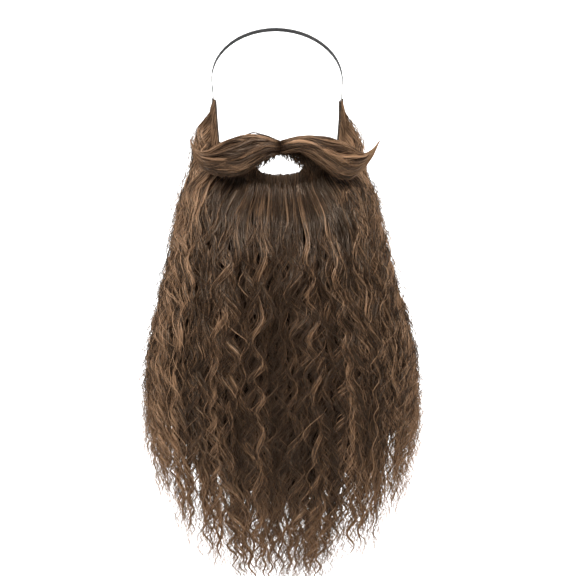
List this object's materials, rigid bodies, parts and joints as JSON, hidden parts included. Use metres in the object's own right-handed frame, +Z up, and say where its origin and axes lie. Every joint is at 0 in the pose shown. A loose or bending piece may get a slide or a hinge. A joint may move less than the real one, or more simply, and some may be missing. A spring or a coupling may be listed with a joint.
{
  "type": "fake beard with moustache",
  "caption": "Long wavy false beard with a curled handlebar moustache on a net base, held by an elastic strap over the head.",
  "frame": {"origin": "on the inside of the net base at the front of the chin, where the wearer's chin sits", "axes": "+Z up along the wearer's head and the hair's fall, -Y forward out of the face, +X to the right of the picture"},
  "size_m": [0.3092, 0.1889, 0.6291],
  "materials": {
    "hair": "glossy fibre",
    "cheek_hair": "glossy fibre",
    "moustache_hair": "waxed fibre",
    "net": "knotted net",
    "elastic": "woven elastic"
  },
  "bodies": {
    "root": {"face_base": "net", "moustache_base": "net", "chin_hair": "hair", "cheek_hair_left": "cheek_hair", "cheek_hair_right": "cheek_hair", "moustache_left": "moustache_hair", "moustache_right": "moustache_hair", "elastic_strap": "elastic", "strap_patch_left": "elastic", "strap_patch_right": "elastic"}
  },
  "joints": []
}
